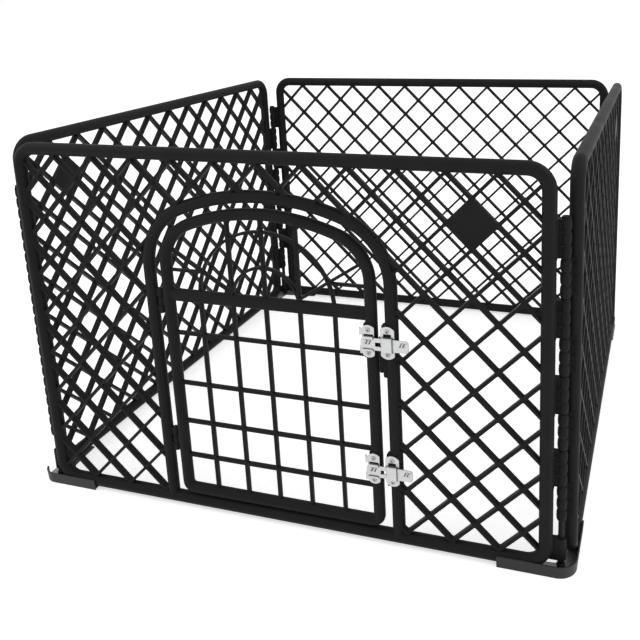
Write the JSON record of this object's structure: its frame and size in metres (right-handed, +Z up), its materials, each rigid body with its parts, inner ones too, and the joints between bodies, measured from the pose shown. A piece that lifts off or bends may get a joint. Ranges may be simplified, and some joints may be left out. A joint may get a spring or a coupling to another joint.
{
  "type": "dog playpen",
  "caption": "Square folding pen for a dog: lattice panels hinged at the corners on rods in L shaped feet, with an arched door held by sliding bolts.",
  "frame": {"origin": "centre of the bounding box at the floor, under the four feet", "axes": "+Z up, -Y towards the door side (front), +X to the right of someone who faces the door from outside; the latches stand 3.1 mm further out than the feet, so the pen's middle is at y = 1.55 mm"},
  "size_m": [0.9096, 0.9126, 0.5936],
  "materials": {
    "black_plastic": "moulded black plastic, fine satin grain with a soft sheen on the tubes",
    "door_plastic": "moulded black plastic, a little smoother than the panels",
    "foot_plastic": "moulded black plastic, satin, lighter where it is scuffed",
    "rod_plastic": "black coated rod, satin",
    "pin_steel": "blackened steel pin",
    "latch_metal": "pressed sheet, pale zinc plating with fine rolling marks",
    "screw_steel": "zinc plated screw"
  },
  "bodies": {
    "front": {"front_panel": "black_plastic", "hinge_pin_upper": "pin_steel", "hinge_pin_lower": "pin_steel", "latch_keeper_upper": "latch_metal", "latch_keeper_lower": "latch_metal", "keeper_screw_upper_low": "screw_steel", "keeper_screw_upper_high": "screw_steel", "keeper_screw_lower_low": "screw_steel", "keeper_screw_lower_high": "screw_steel", "corner_rod_front_left": "rod_plastic", "corner_rod_front_right": "rod_plastic", "foot_front_left": "foot_plastic", "foot_front_right": "foot_plastic"},
    "left": {"left_panel": "black_plastic"},
    "right": {"right_panel": "black_plastic"},
    "back": {"back_panel": "black_plastic", "corner_rod_back_left": "rod_plastic", "corner_rod_back_right": "rod_plastic", "foot_back_left": "foot_plastic", "foot_back_right": "foot_plastic"},
    "door": {"door": "door_plastic", "latch_plate_upper": "latch_metal", "latch_plate_lower": "latch_metal", "plate_screw_upper_low": "screw_steel", "plate_screw_upper_high": "screw_steel", "plate_screw_lower_low": "screw_steel", "plate_screw_lower_high": "screw_steel"},
    "bolt_upper": {"latch_bolt_upper": "latch_metal"},
    "bolt_lower": {"latch_bolt_lower": "latch_metal"}
  },
  "joints": [
    {"name": "left_fold", "type": "hinge", "parent": "front", "child": "left", "pos_m": [-0.431, -0.42945, 0.2982], "axis": [0, 0, 1], "range_deg": [0, 75]},
    {"name": "right_fold", "type": "hinge", "parent": "front", "child": "right", "pos_m": [0.431, -0.42945, 0.2982], "axis": [0, 0, 1], "range_deg": [0, 75]},
    {"name": "back_fold", "type": "hinge", "parent": "left", "child": "back", "pos_m": [-0.431, 0.43255, 0.2982], "axis": [0, 0, 1], "range_deg": [-75, 0]},
    {"name": "door_swing", "type": "hinge", "parent": "front", "child": "door", "pos_m": [-0.17875, -0.44045, 0.2982], "axis": [0, 0, -1], "range_deg": [0, 95]},
    {"name": "upper_bolt_slide", "type": "slide", "parent": "door", "child": "bolt_upper", "axis": [-1, 0, 0], "range_m": [0, 0.043]},
    {"name": "lower_bolt_slide", "type": "slide", "parent": "door", "child": "bolt_lower", "axis": [-1, 0, 0], "range_m": [0, 0.043]}
  ],
  "couplings": [
    {"joint": "right_fold", "follows": "left_fold", "ratio": 1},
    {"joint": "back_fold", "follows": "left_fold", "ratio": -1}
  ]
}
